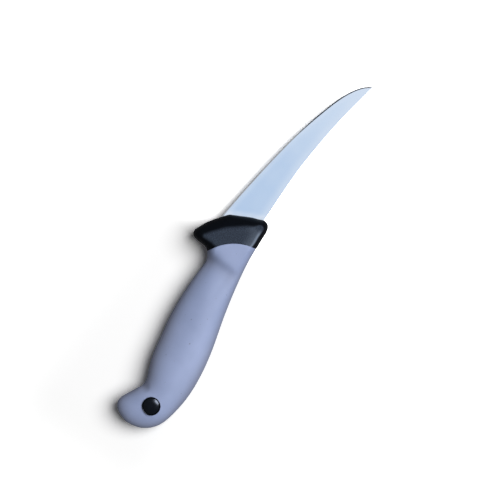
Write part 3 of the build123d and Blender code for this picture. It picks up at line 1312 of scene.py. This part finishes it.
@dataclass
class Blade:
    """Curved blade, ground flat from its back to the bevel of the cutting edge.

    The shares of its back and its edge run from the heel to the tip and across the blade.
    """

    plan: KnifePlan
    collar: Collar
    thickness: float = 2.2
    edge_thickness: float = 0.3
    edge_bevel: float = 0.8
    bevel_crisp: float = 0.02
    heel_share: float = 0.62
    tip_blunt: float = 0.38
    tip_gather: float = 1.25
    back_round: float = 0.45
    back_roll: float = 1.7
    back_steps: int = 6
    most_of_half: float = 0.8
    most_of_ground: float = 0.4
    ground_parts: Sequence[float] = (0.12, 0.35, 0.6, 0.85)
    rows: int = 150
    readings: int = 800
    digits: int = 3
    sharp_turn: float = 30.0
    back_shares: Sequence[Point] = (
        (0.0, -0.03), (0.176, -0.013), (0.335, 0.022), (0.479, 0.034), (0.622, -0.008),
        (0.766, -0.084), (0.88, -0.175), (0.958, -0.246), (1.0, -0.285),
    )
    edge_shares: Sequence[Point] = (
        (0.0, 1.009), (0.074, 1.0), (0.191, 0.951), (0.335, 0.865), (0.479, 0.763),
        (0.622, 0.63), (0.766, 0.436), (0.862, 0.269), (0.934, 0.076), (0.976, -0.107),
        (1.0, -0.285),
    )
    back: SmoothLine = field(init=False)
    edge: SmoothLine = field(init=False)

    def __post_init__(self) -> None:
        """Fits the back and the cutting edge."""
        self.back = SmoothLine([self._spot(shares) for shares in self.back_shares])
        self.edge = SmoothLine([self._spot(shares) for shares in self.edge_shares])

    def _spot(self, shares: Point) -> Point:
        """Finds a point of the blade's outline.

        Args:
            shares: Shares of the way from the heel to the tip and of the blade's width.

        Returns:
            The point.
        """
        plan = self.plan
        heel = plan.handle_length - self.heel_share * plan.collar_length
        run = shares[0] * (plan.overall_length - self.tip_blunt - heel)
        return heel + run, plan.spine_step + shares[1] * plan.blade_width

    def _section(self, share: float) -> list[Vector]:
        """Points round the blade at a station.

        Args:
            share: Share of the way from the heel to the tip.

        Returns:
            The points, from the middle of the back over the upper flank to the edge, and
            back along the lower flank.
        """
        foot = self.back.at(share)
        span = self.edge.at(share) - foot
        width = span.length
        across = span.normalized() if width > SAME_POINT else Vector((0, 1, 0))
        grind = (self.thickness - self.edge_thickness) / (self.plan.blade_width - self.edge_bevel)
        bevel = min(self.edge_bevel, width / 2)
        ground = width - bevel
        half = (self.edge_thickness + grind * ground) / 2
        edge_half = min(self.edge_thickness / 2, half)
        curve = min(self.back_round, half * self.most_of_half, ground * self.most_of_ground)
        roll = min(self.back_roll, ground * self.most_of_ground)
        side = [(0.0, 0.0), (0.0, half - curve)]
        for step in range(1, self.back_steps + 1):
            angle = math.radians(90.0 * step / self.back_steps)
            side.append((roll * (1 - math.cos(angle)), half - curve * (1 - math.sin(angle))))
        for part in self.ground_parts:
            side.append((mix(roll, ground, part), mix(half, edge_half, part)))
        before = ground - self.bevel_crisp * bevel
        side += [(before, edge_half), (ground, edge_half), (width, 0.0)]
        around = side + [(out, -height) for out, height in reversed(side[1:-1])]
        return [foot + across * out + Vector((0, 0, height)) for out, height in around]

    def build(self) -> Piece:
        """Builds the blade.

        Returns:
            The piece. The bevel of its cutting edge has material index 1.
        """
        steps = range(self.rows + 1)
        sections = [self._section(1 - (1 - step / self.rows) ** self.tip_gather) for step in steps]
        skin = wrap_skin(sections)
        lines = {
            Mark.FROM_BACK: self.back,
            Mark.FROM_EDGE: self.edge,
            Mark.FROM_COLLAR: self.collar.outline,
        }
        for mark, line in lines.items():
            spots = line.readings(self.readings)
            set_mark(skin, mark, lambda place, spots=spots: reach_from(spots, place))
        edge = {self._key(section[len(section) // 2]) for section in sections}
        for face in skin.faces:
            face.material_index = int(any(self._key(vert.co) in edge for vert in face.verts))
        piece = Piece("blade_ground", skin, self.plan)
        piece.soften(self.sharp_turn)
        return piece

    def _key(self, place: Vector) -> tuple[float, ...]:
        """A place, rounded so that it can be looked up."""
        return tuple(round(part, self.digits) for part in place)


@dataclass(frozen=True)
class Lamp:
    """A soft round lamp, by the way to it in the picture: right, up and out."""

    name: str
    way: tuple[float, float, float]
    distance: float
    size: float
    power: float
    in_gloss: bool = True
    in_matt: bool = True

    def hang(self, target: Vector, view: Matrix, only: Sequence[Piece] = ()) -> None:
        """Hangs the lamp and turns it to a point.

        Args:
            target: Point that the lamp looks at.
            view: Turn of the picture in the frame.
            only: Pieces that it lights, or none for all.
        """
        data = bpy.data.lights.new(self.name, "AREA")
        data.shape = "DISK"
        data.size = self.size
        data.energy = self.power
        lamp = bpy.data.objects.new(self.name, data)
        way = (view @ Vector(self.way)).normalized()
        lamp.location = target + way * self.distance
        lamp.rotation_euler = (-way).to_track_quat("-Z", "Y").to_euler()
        lamp.visible_glossy = self.in_gloss
        lamp.visible_diffuse = self.in_matt
        if only:
            lit = bpy.data.collections.new(f"{self.name}_lit")
            for piece in only:
                lit.objects.link(piece.item)
            lamp.light_linking.receiver_collection = lit
        bpy.context.scene.collection.objects.link(lamp)


@dataclass
class Studio:
    """Pale floor, soft light and the camera straight above."""

    view_middle: Point = (0.00357, 0.00237)
    view_turn: float = -54.0
    view_width: float = 0.3072
    view_height: float = 1.5
    sensor: float = 36.0
    mid_height: float = 0.01
    floor_reach: float = 2.0
    room: Colour = (1.0, 1.0, 1.0, 1.0)
    ambient: float = 0.084
    key: Lamp = Lamp("key", (0.54, 0.12, 0.83), 3.0, 2.8, 103.0, in_gloss=False)
    sheen: Lamp = Lamp("key_sheen", (0.54, 0.12, 0.83), 3.0, 2.8, 102.0, in_matt=False)
    glint: Lamp = Lamp("glint", (0.6, 0.42, 0.68), 2.4, 1.5, 480.0, in_matt=False)

    def _lay_floor(self) -> None:
        """Lays the floor, which looks white and keeps the handle's shadow; painted light lifts the
        shadow by the blade.
        """
        paper = bmesh.new()
        bmesh.ops.create_grid(paper, x_segments=1, y_segments=1, size=self.floor_reach)
        mesh = bpy.data.meshes.new("floor")
        paper.to_mesh(mesh)
        paper.free()
        mesh.materials.append(FloorFinish().make())
        floor = bpy.data.objects.new("floor", mesh)
        bpy.context.scene.collection.objects.link(floor)

    def _fill_room(self) -> None:
        """Makes the room white to the camera and in gloss, and soft on matt surfaces."""
        world = bpy.data.worlds.new("studio_room")
        bpy.context.scene.world = world
        sheet = Sheet(world)
        rays = sheet.node("ShaderNodeLightPath", {}, {})
        clear = rays["Is Camera Ray"] + rays["Is Glossy Ray"] + rays["Is Transmission Ray"]
        strength = clear.rise(0.0, 1.0) * (1 - self.ambient) + self.ambient
        values = {"Color": self.room, "Strength": strength}
        light = sheet.node("ShaderNodeBackground", {}, values)["Background"]
        sheet.node("ShaderNodeOutputWorld", {}, {"Surface": light})

    def _place_camera(self) -> None:
        """Places the camera straight above, turned as in the photograph."""
        data = bpy.data.cameras.new("camera")
        data.sensor_width = self.sensor
        data.lens = self.sensor * self.view_height / self.view_width
        camera = bpy.data.objects.new("camera", data)
        camera.location = (*self.view_middle, self.view_height + self.mid_height)
        camera.rotation_euler = (0.0, 0.0, math.radians(self.view_turn))
        bpy.context.scene.collection.objects.link(camera)
        bpy.context.scene.camera = camera

    def build(self, matt: Sequence[Piece], polished: Sequence[Piece]) -> None:
        """Sets up the floor, the room, the lamps and the camera.

        Args:
            matt: Pieces that show the key lamp as a broad sheen.
            polished: Pieces that show the glint of a small lamp.
        """
        self._lay_floor()
        self._fill_room()
        target = Vector((0.0, 0.0, self.mid_height))
        view = Matrix.Rotation(math.radians(self.view_turn), 3, "Z")
        self.key.hang(target, view)
        self.sheen.hang(target, view, only=matt)
        self.glint.hang(target, view, only=polished)
        self._place_camera()
        bpy.context.scene.view_settings.view_transform = "Standard"
        log.info("studio: floor, room, three lamps and camera")


def main() -> None:
    """Builds and dresses the knife, and sets up the studio."""
    logging.basicConfig(level=logging.INFO, format="%(name)s: %(message)s")
    plan = KnifePlan()
    satin = SteelFinish(
        "blade_satin",
        # painted reflection: the satin is lighter towards the tip
        heel=paint(180, 203, 232),
        tip=paint(204, 220, 240),
        shift=(0.036, 0.125),
        # painted highlights along the back, along the edge and by the collar
        painted_highlights=(
            (Mark.FROM_BACK, (0.2, 6.5), 0.55),
            (Mark.FROM_EDGE, (0.6, 5.0), 0.45),
            (Mark.FROM_COLLAR, (0.0, 4.5), 0.8),
        ),
    )
    bevel = SteelFinish(
        "blade_edge_ground",
        # painted reflection: the ground edge darkens towards the tip
        heel=paint(156, 160, 164),
        tip=paint(37, 41, 47),
        shift=(0.07, 0.096),
    )

    collar = Collar(plan)
    collar.build().dress([CollarFinish().make()], Slot.CORE, "handle_core")

    plug = Plug(plan)
    grip = SoftGrip(plan, collar).build(plug)
    grip.dress([RubberFinish().make()], Slot.GRIP, "soft_grip")

    black = PlugFinish().make()
    heads = [plug.build(flank) for flank in Flank]
    for head, node in zip(heads, ("plug_stud_half", "plug_socket_half")):
        head.dress([black], Slot.PLUG, node)

    Blade(plan, collar).build().dress([satin.make(), bevel.make()], Slot.BLADE, "blade")
    Studio().build(matt=[grip], polished=heads)


if __name__ == "__main__":
    main()
